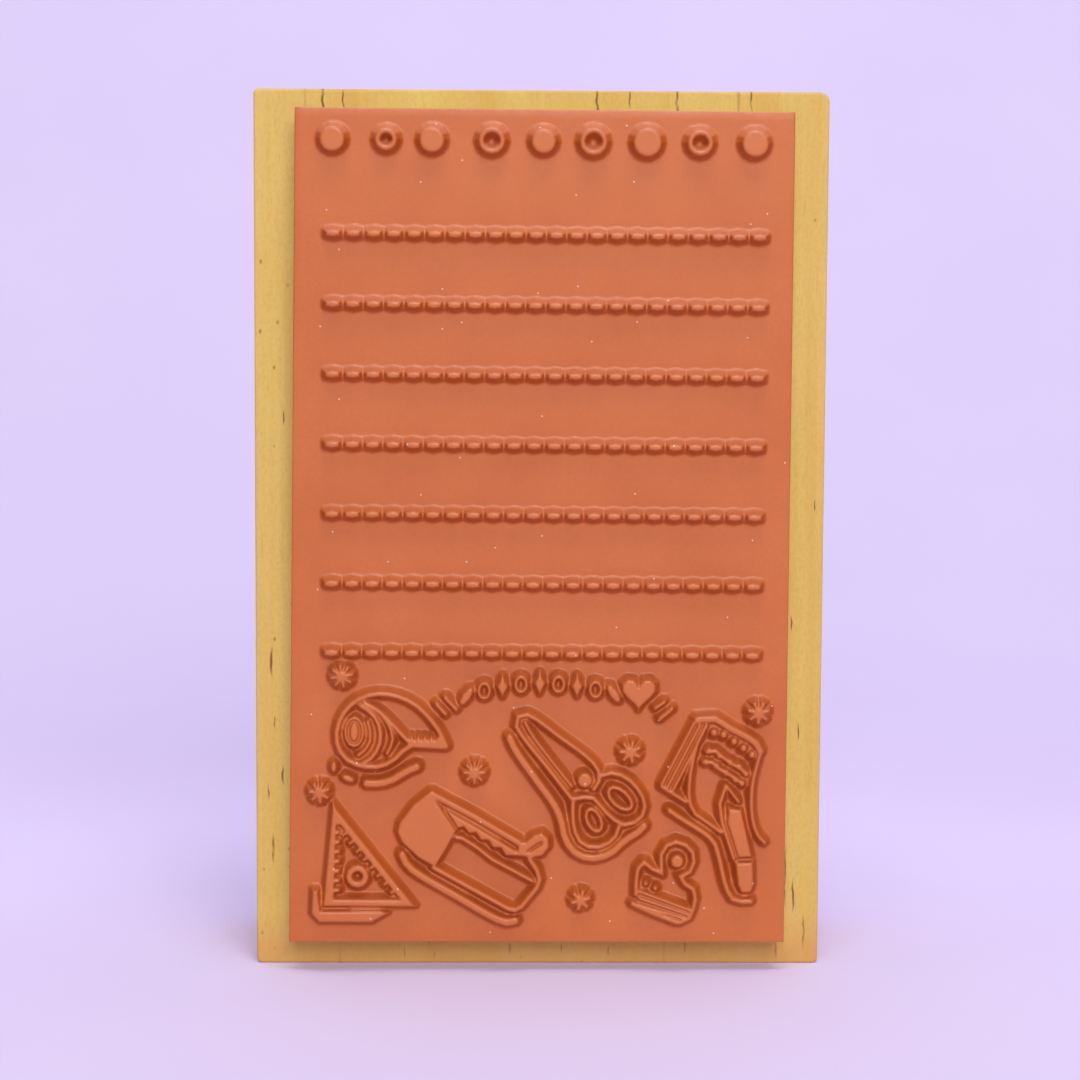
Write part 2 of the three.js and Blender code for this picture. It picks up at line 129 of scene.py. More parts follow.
# The paper sweep: its front edge, where it starts to bend, the bend and the wall, in metres.
SWEEP_START = -3.0
SWEEP_BEND = 0.16
SWEEP_RADIUS = 0.35
SWEEP_STEPS = 24
SWEEP_WALL = 1.6
SWEEP_HALF_WIDTH = 3.0


# ---------------------------------------------------------------- meshes


def mesh_object(name, vertices, faces, material, smooth=True):
    """A mesh object in the scene, with one material."""
    mesh = bpy.data.meshes.new(name)
    mesh.from_pydata([tuple(v) for v in vertices], [], faces)
    mesh.update()
    mesh.validate()
    if smooth:
        mesh.polygons.foreach_set("use_smooth", [True] * len(mesh.polygons))
    mesh.materials.append(material)
    obj = bpy.data.objects.new(name, mesh)
    bpy.context.scene.collection.objects.link(obj)
    return obj


def flatten_caps(obj, corners=12):
    """The big end faces of a ringed body are flat, with a crisp turn at their edge."""
    for face in obj.data.polygons:
        if len(face.vertices) > corners:
            face.use_smooth = False


def ringed_faces(ring_count, per_ring):
    """Faces of a capped body made of equal closed rings, running from its front to its back."""
    faces = []
    for ring in range(ring_count - 1):
        first = ring * per_ring
        for i in range(per_ring):
            following = (i + 1) % per_ring
            faces.append(
                (first + i, first + per_ring + i, first + per_ring + following, first + following)
            )
    last = (ring_count - 1) * per_ring
    faces.append(tuple(range(per_ring)))
    faces.append(tuple(reversed(range(last, last + per_ring))))
    return faces


def waves(positions, amplitude, lengths, seed):
    """A smooth, repeatable wobble along a line: a few sines of the given wave lengths."""
    phases = np.random.default_rng(seed).uniform(0, 2 * math.pi, len(lengths))
    total = sum(
        np.sin(2 * math.pi * positions / length + phase) for length, phase in zip(lengths, phases)
    )
    return amplitude * total / len(lengths)


def rounded_outline(low, high, radii):
    """Points, outward normals and distances along a rounded rectangle in x and z, anticlockwise."""
    corners = [
        ((high[0], low[1]), radii["low_right"], -0.5 * math.pi, (-1, 1)),
        ((high[0], high[1]), radii["high_right"], 0.0, (-1, -1)),
        ((low[0], high[1]), radii["high_left"], 0.5 * math.pi, (1, -1)),
        ((low[0], low[1]), radii["low_left"], math.pi, (1, 1)),
    ]
    points, normals = [], []
    for index, (corner, radius, start, inward) in enumerate(corners):
        centre = np.array(corner) + radius * np.array(inward)
        for step in range(CORNER_STEPS + 1):
            angle = start + 0.5 * math.pi * step / CORNER_STEPS
            normal = np.array((math.cos(angle), math.sin(angle)))
            points.append(centre + radius * normal)
            normals.append(normal)
        corner_after, radius_after, start_after, inward_after = corners[(index + 1) % len(corners)]
        goal = np.array(corner_after) + radius_after * np.array(inward_after)
        goal = goal + radius_after * np.array((math.cos(start_after), math.sin(start_after)))
        here = points[-1]
        pieces = max(1, round(np.linalg.norm(goal - here) / OUTLINE_SPACING))
        for step in range(1, pieces):
            points.append(here + (goal - here) * step / pieces)
            normals.append(normals[-1])
    points, normals = np.array(points), np.array(normals)
    steps = np.linalg.norm(np.diff(points, axis=0), axis=1)
    return points, normals, np.concatenate([[0.0], np.cumsum(steps)])


def body_from_outline(name, outline, levels, material):
    """A body whose outline is drawn in by an inset at each depth. Levels are (y, inset) pairs."""
    points, normals, _ = outline
    rings = []
    for y, inset in levels:
        shifted = points - normals * np.reshape(inset, (-1, 1))
        rings.append(np.column_stack([shifted[:, 0], np.full(len(points), y), shifted[:, 1]]))
    # Seen from the front, the outline runs anticlockwise, so the first ring faces -Y.
    obj = mesh_object(name, np.vstack(rings), ringed_faces(len(rings), len(points)), material)
    flatten_caps(obj)
    return obj


def eased(depth_from, towards, ease):
    """Levels round a quarter circle from a flat face to the side of a body."""
    levels = []
    for step in range(EASE_STEPS + 1):
        angle = 0.5 * math.pi * step / EASE_STEPS
        y = depth_from + towards * BLOCK_EASE * (1 - math.cos(angle))
        levels.append((y, ease * (1 - math.sin(angle))))
    return levels


# ---------------------------------------------------------------- the relief of the die


def cad_triangles(node):
    """The triangles of a CAD node, as corners in x, y and z."""
    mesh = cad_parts[node].data
    mesh.calc_loop_triangles()
    points = np.empty(len(mesh.vertices) * 3)
    mesh.vertices.foreach_get("co", points)
    corners = np.empty(len(mesh.loop_triangles) * 3, int)
    mesh.loop_triangles.foreach_get("vertices", corners)
    return points.reshape(-1, 3)[corners].reshape(-1, 3, 3)


def printing_tops():
    """The triangles of the printing surface, as corners in x and z."""
    triangles = cad_triangles("rubber_die")
    level = triangles[:, :, 1].min()
    flat = np.abs(triangles[:, :, 1] - level).max(axis=1) < PLANE_TOLERANCE
    return triangles[flat][:, :, [0, 2]]


def outline_edges(triangles):
    """The edges that only one triangle has."""
    keys = np.round(triangles / SAME_PLACE).astype(np.int64)
    seen = {}
    for triangle, key in zip(triangles, keys):
        for a, b in ((0, 1), (1, 2), (2, 0)):
            pair = (tuple(key[a]), tuple(key[b]))
            back = (pair[1], pair[0])
            if back in seen:
                del seen[back]
            else:
                seen[pair] = (triangle[a], triangle[b])
    return list(seen.values())


def outer_corners(points):
    """The four outermost of some points in x and z, anticlockwise from the lower left."""
    x, z = points[:, 0], points[:, 1]
    picked = [np.argmin(x + z), np.argmax(x - z), np.argmax(x + z), np.argmin(x - z)]
    return points[picked]


def sheet_corners(inset=0.0):
    """The sheet's corners in x and z, anticlockwise from the lower left, drawn in by an even margin."""
    triangles = cad_triangles("rubber_die")
    back = np.abs(triangles[:, :, 1] - DIE_HIGH.y).max(axis=1) < PLANE_TOLERANCE
    points = triangles[back][:, :, [0, 2]].reshape(-1, 2)
    inward = np.array([(1, 1), (-1, 1), (-1, -1), (1, -1)])
    return outer_corners(points) + inset * inward


def across(corners, u, v):
    """The point at shares u and v across and up a four-cornered sheet."""
    u, v = np.asarray(u)[..., None], np.asarray(v)[..., None]
    low = corners[0] * (1 - u) + corners[1] * u
    high = corners[3] * (1 - u) + corners[2] * u
    return low * (1 - v) + high * v


def window(grid, low, high):
    """The rows and columns of a grid of points that reach into a box."""
    x, z = grid[..., 0], grid[..., 1]
    columns = slice(
        np.searchsorted(x.max(axis=0), low[0]), np.searchsorted(x.min(axis=0), high[0]) + 1
    )
    rows = slice(
        np.searchsorted(z.max(axis=1), low[1]), np.searchsorted(z.min(axis=1), high[1]) + 1
    )
    return rows, columns


def distance_to_tops(grid, tops):
    """How far each grid point is from the edge of the tops, up to a little past the shoulder."""
    reach = 1.5 * SHOULDER_WIDTH
    distance = np.full(grid.shape[:2], reach)
    for a, b in outline_edges(tops):
        where = window(grid, np.minimum(a, b) - reach, np.maximum(a, b) + reach)
        along = b - a
        offset = grid[where] - a
        share = np.clip(offset @ along / max(along @ along, 1e-18), 0, 1)
        gap = np.linalg.norm(offset - share[..., None] * along, axis=-1)
        distance[where] = np.minimum(distance[where], gap)
    return distance


def inside_tops(grid, tops):
    """Which grid points lie in the tops."""
    inside = np.zeros(grid.shape[:2], bool)
    for triangle in tops:
        where = window(grid, triangle.min(axis=0), triangle.max(axis=0))
        signs = []
        for a, b in ((0, 1), (1, 2), (2, 0)):
            along, offset = triangle[b] - triangle[a], grid[where] - triangle[a]
            signs.append(along[0] * offset[..., 1] - along[1] * offset[..., 0])
        signs = np.array(signs)
        inside[where] |= (signs >= 0).all(axis=0) | (signs <= 0).all(axis=0)
    return inside


def relief_heights(grid):
    """The height of the rubber above its floor: flat tops with a sloping shoulder all round."""
    tops = printing_tops()
    distance = distance_to_tops(grid, tops)
    inside = inside_tops(grid, tops)
    full = DIE_HIGH.y - DIE_LOW.y - SHEET_THICKNESS
    fallen = TOP_ROUNDING * (1 - np.sqrt(1 - np.clip(1 - distance / TOP_ROUNDING, 0, 1) ** 2))
    shoulder = (full - TOP_ROUNDING) * np.clip(1 - distance / SHOULDER_WIDTH, 0, 1) ** SHOULDER_CURVE
    shoulder = np.maximum(shoulder, full * gap_filling(inside, distance))
    return softened(np.where(inside, full - fallen, shoulder))


def disc(radius):
    """The grid steps within a radius, as (row, column, length)."""
    span = range(-math.ceil(radius), math.ceil(radius) + 1)
    return [(j, i, math.hypot(j, i)) for j in span for i in span if math.hypot(j, i) <= radius]


def gap_filling(inside, distance):
    """The share of the full height that rubber left in narrow gaps has, with its own shoulder."""
    filling = np.zeros(inside.shape)
    for radius, share in SHALLOW_GAPS:
        grown = inside | (distance <= radius * RELIEF_GRID)
        closed = grown.copy()
        for j, i, _ in disc(radius + 0.5):
            closed &= np.roll(grown, (j, i), axis=(0, 1))
        filling[closed & ~inside] = share
    around = filling.copy()
    for j, i, length in disc(round(SHOULDER_WIDTH / RELIEF_GRID)):
        fall = max(0.0, 1 - length * RELIEF_GRID / SHOULDER_WIDTH) ** SHOULDER_CURVE
        around = np.maximum(around, fall * np.roll(filling, (j, i), axis=(0, 1)))
    return softened(softened(around))


def softened(heights):
    """Moulded rubber has no sharp edge: each height is a weighted mean of those around it."""
    for axis in (0, 1):
        margin = [(1, 1) if a == axis else (0, 0) for a in (0, 1)]
        padded = np.pad(heights, margin, mode="edge")
        count = heights.shape[axis]
        shifts = [np.take(padded, range(i, i + count), axis=axis) for i in range(len(SOFTENING))]
        heights = sum(weight * shifted for weight, shifted in zip(SOFTENING, shifts))
    return heights


def flat_cells(heights, size):
    """Which square cells of some size are flat, along with a margin of one grid step."""
    rows, columns = (heights.shape[0] - 1) // size, (heights.shape[1] - 1) // size
    padded = np.pad(heights, 1, mode="edge")
    low = np.full((rows, columns), np.inf)
    high = np.full((rows, columns), -np.inf)
    for j in range(size + 3):
        for i in range(size + 3):
            sample = padded[j:j + rows * size:size, i:i + columns * size:size][:rows, :columns]
            low, high = np.minimum(low, sample), np.maximum(high, sample)
    return high - low < FLAT_ENOUGH


def cells_of(heights):
    """Square cells that cover the grid, as (row, column, size): large where it is flat."""
    rows, columns = heights.shape[0] - 1, heights.shape[1] - 1
    taken = np.zeros((rows, columns), bool)
    cells = []
    for level in range(COARSEST_LEVEL, 0, -1):
        size = 2 ** level
        free = ~taken.reshape(rows // size, size, columns // size, size).any(axis=(1, 3))
        chosen = flat_cells(heights, size) & free
        cells += [(j * size, i * size, size) for j, i in np.argwhere(chosen)]
        taken |= np.kron(chosen, np.ones((size, size), bool))
    cells += [(j, i, 1) for j, i in np.argwhere(~taken)]
    return cells


def cell_face(cell, index):
    """The grid points round a cell, among them those of smaller neighbours, anticlockwise."""
    j, i, size = cell
    south = index[j, i:i + size]
    east = index[j:j + size, i + size]
    north = index[j + size, i + size:i:-1]
    west = index[j + size:j:-1, i]
    ring = np.concatenate([south, east, north, west])
    return tuple(int(k) for k in ring[ring >= 0])


def relief_mesh_data():
    """The die's front: vertices, faces, what its colour follows, and the rim's shares across and up."""
    corners = sheet_corners(SHEET_EDGE_RADIUS)
    largest = 2 ** COARSEST_LEVEL
    width = np.linalg.norm(corners[1] - corners[0])
    height = np.linalg.norm(corners[3] - corners[0])
    columns = round(width / RELIEF_GRID / largest) * largest
    rows = round(height / RELIEF_GRID / largest) * largest
    u, v = np.meshgrid(np.linspace(0, 1, columns + 1), np.linspace(0, 1, rows + 1))
    grid = across(corners, u, v)
    heights = relief_heights(grid)
    cells = cells_of(heights)

    used = np.zeros(heights.shape, bool)
    for j, i, size in cells:
        used[j:j + size + 1:size, i:i + size + 1:size] = True
    index = np.full(heights.shape, -1)
    index[used] = np.arange(used.sum())
    floor = DIE_HIGH.y - SHEET_THICKNESS
    points = grid[used]
    vertices = np.column_stack([points[:, 0], floor - heights[used], points[:, 1]])
    faces = [cell_face(cell, index) for cell in cells]

    rim = []
    sides = [
        (index[0, :-1], u[0, :-1], v[0, :-1]),
        (index[:-1, -1], u[:-1, -1], v[:-1, -1]),
        (index[-1, :0:-1], u[-1, :0:-1], v[-1, :0:-1]),
        (index[:0:-1, 0], u[:0:-1, 0], v[:0:-1, 0]),
    ]
    for numbers, shares_u, shares_v in sides:
        kept = numbers >= 0
        rim += list(zip(numbers[kept], shares_u[kept], shares_v[kept]))

    across_step, up_step = width / columns, height / rows
    slopes = np.hypot(*np.gradient(heights, up_step, across_step))
    looks = {
        "relief": heights[used] / heights.max(),
        "slope": np.clip(slopes[used] / STEEPEST, 0, 1),
    }
    return vertices, faces, looks, rim


def rim_levels():
    """The rings round the sheet's edge: depth behind the floor, inset and share of the cut's wobble."""
    levels = []
    for step in range(1, SHEET_EDGE_STEPS + 1):
        angle = 0.5 * math.pi * step / SHEET_EDGE_STEPS
        depth = SHEET_EDGE_RADIUS * (1 - math.cos(angle))
        inset = SHEET_EDGE_RADIUS * (1 - math.sin(angle))
        levels.append((depth, inset, 0.0))
    return levels + [(depth, inset, 1.0) for depth, inset in CUT_LEVELS]


def rim_points(shares_u, shares_v, inset):
    """Points round the sheet's edge in x and z, each drawn in from the side that it lies on."""
    points = across(sheet_corners(), shares_u, shares_v)
    direction = np.sign(points.mean(axis=0) - points)
    at_side = np.column_stack([
        np.isclose(shares_u, 0) | np.isclose(shares_u, 1),
        np.isclose(shares_v, 0) | np.isclose(shares_v, 1),
    ])
    return points + direction * at_side * inset[:, None]


def rubber_die(material):
    """The moulded sheet: relief in front, a small round at the front edge, cut sides and a flat back."""
    vertices, faces, looks, rim = relief_mesh_data()
    floor = DIE_HIGH.y - SHEET_THICKNESS
    inner = [int(number) for number, _, _ in rim]
    shares_u = np.array([u for _, u, _ in rim])
    shares_v = np.array([v for _, _, v in rim])
    positions = np.arange(len(rim)) / len(rim)
    wobble = CUT_WAVINESS + waves(positions, CUT_WAVINESS, (0.021, 0.047, 0.13), 3)
    blocks, previous = [vertices], inner
    count = len(vertices)
    for depth, inset, share in rim_levels():
        points = rim_points(shares_u, shares_v, inset + share * wobble)
        depths = np.full(len(points), floor + depth)
        blocks.append(np.column_stack([points[:, 0], depths, points[:, 1]]))
        current = list(range(count, count + len(points)))
        count += len(points)
        for i in range(len(points)):
            after = (i + 1) % len(points)
            faces.append((current[i], current[after], previous[after], previous[i]))
        previous = current
    faces.append(tuple(reversed(previous)))
    die = mesh_object("moulded_rubber", np.vstack(blocks), faces, material)
    die.data.polygons[len(faces) - 1].use_smooth = False
    for name, values in looks.items():
        shares = np.zeros(count, np.float32)
        shares[:len(values)] = values
        attribute = die.data.attributes.new(name, "FLOAT", "POINT")
        attribute.data.foreach_set("value", shares)
    return die


# ---------------------------------------------------------------- materials


class Shader:
    """One material's node tree, built a node at a time."""

    def __init__(self, name, **constants):
        self.material = bpy.data.materials.new(name)
        self.material.use_nodes = True
        self.tree = self.material.node_tree
        self.surface = self.tree.nodes["Principled BSDF"]
        for socket, value in constants.items():
            self.surface.inputs[socket.replace("_", " ")].default_value = value
        self.place = self.add("ShaderNodeTexCoord").outputs["Object"]

    def add(self, kind, inputs=None, **settings):
        """A node with its settings made and its inputs fed."""
        node = self.tree.nodes.new(kind)
        for name, value in settings.items():
            setattr(node, name, value)
        for key, value in (inputs or {}).items():
            self.feed(node.inputs[key], value)
        return node

    def feed(self, socket, value):
        """Links a socket to another, or sets its value."""
        if isinstance(value, bpy.types.NodeSocket):
            self.tree.links.new(value, socket)
        else:
            socket.default_value = value

    def maths(self, operation, a, b=0.0):
        return self.add("ShaderNodeMath", {0: a, 1: b}, operation=operation).outputs[0]

    def vector(self, operation, a, b):
        return self.add("ShaderNodeVectorMath", {0: a, 1: b}, operation=operation).outputs[0]

    def length(self, vector):
        return self.add("ShaderNodeVectorMath", {0: vector}, operation="LENGTH").outputs["Value"]

    def scaled(self, factors):
        """The place on the object, scaled along each axis."""
        return self.vector("MULTIPLY", self.place, factors)

    def part(self, vector, axis):
        """One of a vector's X, Y and Z."""
        return self.add("ShaderNodeSeparateXYZ", {0: vector}).outputs[axis]

    def facing(self, axis):
        """How far the surface faces along an axis."""
        return self.part(self.add("ShaderNodeNewGeometry").outputs["Normal"], axis)

    def stored(self, name):
        """A value that the mesh holds at each point."""
        return self.add("ShaderNodeAttribute", attribute_name=name).outputs["Fac"]

    def noise(self, vector, scale, detail=3.0, roughness=0.5, distortion=0.0):
        inputs = {
            "Vector": vector,
            "Scale": scale,
            "Detail": detail,
            "Roughness": roughness,
            "Distortion": distortion,
        }
        return self.add("ShaderNodeTexNoise", inputs).outputs["Fac"]

    def cells(self, vector, scale, **settings):
        """A cell texture, with the distance to each cell's centre and a colour of its own."""
        return self.add("ShaderNodeTexVoronoi", {"Vector": vector, "Scale": scale}, **settings)

    def spread(self, value, low, high, to_low=0.0, to_high=1.0):
        """A value between two limits, spread over another range and held at its ends."""
        inputs = {
            "Value": value,
            "From Min": low,
            "From Max": high,
            "To Min": to_low,
            "To Max": to_high,
        }
        return self.add("ShaderNodeMapRange", inputs).outputs["Result"]

    def mixed(self, share, a, b):
        """Colour a with a share of colour b."""
        node = self.add("ShaderNodeMix", data_type="RGBA")
        self.feed(node.inputs[0], share)
        self.feed(node.inputs[6], a)
        self.feed(node.inputs[7], b)
        return node.outputs[2]

    def bumped(self, height, distance, strength, under=None):
        inputs = {"Height": height, "Distance": distance, "Strength": strength}
        if under is not None:
            inputs["Normal"] = under
        return self.add("ShaderNodeBump", inputs).outputs["Normal"]

    def finish(self, colour, roughness, normal):
        """The material, with its surface fed."""
        self.feed(self.surface.inputs["Base Color"], colour)
        self.feed(self.surface.inputs["Roughness"], roughness)
        self.feed(self.surface.inputs["Normal"], normal)
        return self.material


def srgb(red, green, blue):
    """A colour given as a screen shows it, 0 to 255, in the linear values that shaders use."""
    def linear(value):
        value /= 255
        return value / 12.92 if value <= 0.04045 else ((value + 0.055) / 1.055) ** 2.4
    return (linear(red), linear(green), linear(blue), 1.0)


def grain_marks(s):
    """How far a place is from the nearest dark dash of the front, in half sizes of the dash."""
    bend = s.noise(s.scaled((0, 0, 420)), 1.0, 2.0)
    bend = s.maths("MULTIPLY", s.maths("SUBTRACT", bend, 0.5), 0.7 * MM)
    place = s.vector("ADD", s.place, s.add("ShaderNodeCombineXYZ", {0: bend}).outputs[0])
    nearest = None
    for x, z, half_width, half_length in GRAIN_MARKS:
        offset = s.vector("SUBTRACT", place, (x * MM, 0, z * MM))
        size = (0.8 / (half_width * MM), 0, 1 / (half_length * MM))
        reach = s.length(s.vector("MULTIPLY", offset, size))
        nearest = reach if nearest is None else s.maths("MINIMUM", nearest, reach)
    return nearest


def pine():
    """Pale pine: growth rings about an axis behind the block, fine fibres along Z and resin streaks, with
    painted reddish shade and bounce light near the foot.
    """
    s = Shader("pine", IOR=1.45)
    wander = s.noise(s.scaled((40, 40, 9)), 1.0, 2.0)
    from_axis = s.vector("SUBTRACT", s.place, RING_AXIS)
    drift = s.maths("MULTIPLY", wander, 6 * MM)
    drifts = s.add("ShaderNodeCombineXYZ", {0: drift, 1: drift}).outputs[0]
    flat = s.vector("MULTIPLY", s.vector("ADD", from_axis, drifts), (1, 1, 0))
    ring = s.maths("FRACT", s.maths("DIVIDE", s.length(flat), RING_SPACING))
    late = s.maths("POWER", ring, 3.0)
    late = s.maths("MULTIPLY", late, s.spread(ring, 1.0, 0.93, 0.0, 1.0))
    fibres = s.noise(s.scaled((1500, 1500, 38)), 1.0, 4.0, 0.62)
    bands = s.noise(s.scaled((230, 230, 7)), 1.0, 3.0)
    blotches = s.noise(s.scaled((60, 60, 26)), 1.0, 3.0)
    pores = s.noise(s.scaled((5200, 5200, 380)), 1.0, 2.0, 0.7)
    pale, warm, late_wood = srgb(229, 199, 104), srgb(222, 182, 87), srgb(206, 152, 72)
    colour = s.mixed(s.spread(bands, 0.32, 0.68), pale, warm)
    at_end = s.spread(s.maths("ABSOLUTE", s.facing("Z")), 0.7, 0.95, 0.13, 0.55)
    colour = s.mixed(s.maths("MULTIPLY", late, at_end), colour, late_wood)
    colour = s.mixed(s.spread(fibres, 0.42, 0.72, 0.0, 0.15), colour, srgb(202, 156, 78))
    colour = s.mixed(s.spread(blotches, 0.5, 0.72, 0.0, 0.25), colour, srgb(236, 210, 130))
    fine = s.noise(s.scaled((3900, 3900, 2400)), 1.0, 2.0, 0.6)
    colour = s.mixed(s.spread(fine, 0.42, 0.66, 0.0, 0.2), colour, srgb(198, 144, 68))
    colour = s.mixed(s.spread(pores, 0.6, 0.75, 0.0, 0.22), colour, srgb(176, 122, 64))
    dots = s.cells(s.scaled((620, 620, 420)), 1.0)
    draw = s.add("ShaderNodeSeparateColor", {0: dots.outputs["Color"]}).outputs[0]
    chosen = s.spread(draw, 0.62, 0.66)
    specks = s.maths("MULTIPLY", s.spread(dots.outputs["Distance"], 0.13, 0.06, 0.0, 0.62), chosen)
    colour = s.mixed(specks, colour, srgb(140, 88, 44))
    marks = s.spread(grain_marks(s), 0.5, 1.15, 0.85, 0.0)
    broken = s.noise(s.scaled((2500, 2500, 700)), 1.0, 2.0)
    marks = s.maths("MULTIPLY", marks, s.spread(broken, 0.34, 0.5, 0.45, 1.0))
    at_front = s.spread(s.part(s.place, "Y"), BLOCK_LOW.y + 1.6 * MM, BLOCK_LOW.y + 0.6 * MM, 0.0, 1.0)
    marks = s.maths("MULTIPLY", marks, at_front)
    colour = s.mixed(marks, colour, srgb(106, 54, 24))
    canals = s.cells(s.scaled((520, 520, 24)), 1.0).outputs["Distance"]
    colour = s.mixed(s.spread(canals, 0.12, 0.06, 0.0, 0.4), colour, srgb(150, 98, 50))
    # Painted shade and bounce light: the wood is made darker and redder towards the foot, under the die's
    # overhang.
    painted_foot_bounce = s.spread(s.part(s.place, "Z"), 5.5 * MM, 1.5 * MM, 0.0, 0.55)
    colour = s.mixed(painted_foot_bounce, colour, srgb(214, 148, 84))
    roughness = s.spread(fibres, 0.3, 0.7, 0.6, 0.75)
    height = s.maths("ADD", s.maths("MULTIPLY", fibres, 0.7), s.maths("MULTIPLY", pores, 0.3))
    height = s.maths("SUBTRACT", height, s.maths("MULTIPLY", marks, 0.8))
    return s.finish(colour, roughness, s.bumped(height, 0.03 * MM, 0.4))


def die_rubber():
    """Matt terracotta rubber, a little mottled, lighter on the printing tops, with painted shade on the
    steep shoulders, a painted highlight on shoulders that face up (stronger higher up), and a few specks
    of dust.
    """
    s = Shader("die_rubber", IOR=1.5)
    relief = s.stored("relief")
    clouds = s.noise(s.scaled((95, 95, 95)), 1.0, 3.0)
    speckle = s.noise(s.scaled((2600, 2600, 2600)), 1.0, 3.0, 0.6)
    colour = s.mixed(s.spread(clouds, 0.35, 0.65), srgb(204, 106, 43), srgb(210, 113, 50))
    colour = s.mixed(s.spread(speckle, 0.35, 0.7, 0.0, 0.18), colour, srgb(184, 84, 38))
    colour = s.mixed(s.spread(relief, 0.9, 1.0, 0.0, 0.3), colour, srgb(216, 122, 66))
    # Painted highlight: shoulders that face up are mixed towards a pale pink, more so higher up the die,
    # in place of the sheen that light from above gives them.
    higher = s.spread(s.part(s.place, "Z"), 0.02, 0.088, 0.06, 0.8)
    painted_sheen = s.maths("MULTIPLY", s.spread(s.facing("Z"), 0.1, 0.6), higher)
    # Painted shade: steep shoulders are darkened towards a deep red-brown, less so where the painted
    # highlight lies.
    steep = s.spread(s.stored("slope"), 0.1, 0.8, 0.0, 0.68)
    painted_slope_shade = s.maths("MULTIPLY", steep, s.spread(painted_sheen, 0.0, 1.0, 1.0, 0.0))
    colour = s.mixed(painted_slope_shade, colour, srgb(148, 51, 8))
    colour = s.mixed(s.maths("MULTIPLY", painted_sheen, 0.36), colour, srgb(232, 164, 140))
    across_and_up = {0: s.part(s.place, "X"), 1: s.part(s.place, "Z")}
    plane = s.add("ShaderNodeCombineXYZ", across_and_up).outputs[0]
    dust = s.cells(plane, 115.0, voronoi_dimensions="2D").outputs["Distance"]
    colour = s.mixed(s.spread(dust, 0.012, 0.006, 0.0, 0.75), colour, srgb(244, 226, 214))
    roughness = s.spread(speckle, 0.3, 0.7, 0.3, 0.42)
    grain = s.bumped(speckle, 0.012 * MM, 0.6)
    return s.finish(colour, roughness, s.bumped(clouds, 0.08 * MM, 0.4, grain))


def foam():
    """Off-white closed-cell foam: small round cells, cut open at the sides, with painted shade in their
    hollows.
    """
    s = Shader("cushion_foam", IOR=1.4)
    cells = s.cells(s.scaled((3800, 3800, 3800)), 1.0)
    wide = s.noise(s.scaled((300, 300, 300)), 1.0, 3.0)
    depth = s.spread(cells.outputs["Distance"], 0.1, 0.7)
    # Painted shade: the open cells are darker towards their middles.
    colour = s.mixed(depth, srgb(196, 190, 180), srgb(240, 237, 230))
    colour = s.mixed(s.spread(wide, 0.4, 0.7, 0.0, 0.25), colour, srgb(226, 214, 190))
    return s.finish(colour, 0.85, s.bumped(depth, 0.12 * MM, 0.8))


def adhesive_film():
    """Thin double-sided film: milky, with a faint yellow cast and stretch marks."""
    s = Shader("adhesive_film", IOR=1.48)
    streaks = s.noise(s.scaled((900, 90, 260)), 1.0, 3.0)
    colour = s.mixed(s.spread(streaks, 0.35, 0.65), srgb(238, 230, 208), srgb(222, 211, 182))
    return s.finish(colour, s.spread(streaks, 0.3, 0.7, 0.28, 0.45), s.bumped(streaks, 0.02 * MM, 0.5))


def label_paper():
    """Uncoated cream label paper with a faint fibre."""
    s = Shader("label_paper", IOR=1.45)
    fibre = s.noise(s.scaled((1400, 1400, 1400)), 1.0, 5.0, 0.65, 0.6)
    tone = s.noise(s.scaled((45, 45, 45)), 1.0, 2.0)
    colour = s.mixed(s.spread(fibre, 0.35, 0.7), srgb(246, 241, 229), srgb(236, 229, 213))
    colour = s.mixed(s.spread(tone, 0.45, 0.75, 0.0, 0.3), colour, srgb(233, 222, 198))
    return s.finish(colour, 0.82, s.bumped(fibre, 0.02 * MM, 0.5))


def index_ink():
    """Dark printing ink, a little thin and uneven."""
    s = Shader("index_ink", IOR=1.45)
    cover = s.noise(s.scaled((900, 900, 900)), 1.0, 4.0, 0.6)
    colour = s.mixed(s.spread(cover, 0.45, 0.75), srgb(52, 42, 44), srgb(96, 82, 80))
    return s.finish(colour, s.spread(cover, 0.3, 0.7, 0.5, 0.7), s.bumped(cover, 0.005 * MM, 0.4))


def backdrop_paper():
    """Pale lilac paper, almost even."""
    s = Shader("backdrop_paper", IOR=1.4)
    tone = s.noise(s.scaled((14, 14, 14)), 1.0, 2.0)
    colour = s.mixed(s.spread(tone, 0.3, 0.7), srgb(232, 219, 253), srgb(235, 223, 255))
    return s.finish(colour, 0.9, s.bumped(tone, 0.1 * MM, 0.2))


# ---------------------------------------------------------------- pieces


def pine_block(material):
    """The wooden block, with its four corner radii and unevenly eased edges."""
    low = (BLOCK_LOW.x, BLOCK_LOW.z)
    high = (BLOCK_HIGH.x, BLOCK_HIGH.z)
    outline = rounded_outline(low, high, CORNER_RADII)
    along = outline[2]
    ease_front = BLOCK_EASE + waves(along, EASE_VARIATION, (0.0083, 0.021, 0.057), 11)
    ease_back = BLOCK_EASE + waves(along, EASE_VARIATION, (0.011, 0.027, 0.061), 12)
    levels = eased(BLOCK_LOW.y, 1, ease_front)
    levels += list(reversed(eased(BLOCK_HIGH.y, -1, ease_back)))
    block = body_from_outline("pine_block", outline, levels, material)
    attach(block, "block")
    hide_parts("wood_block")
    return block


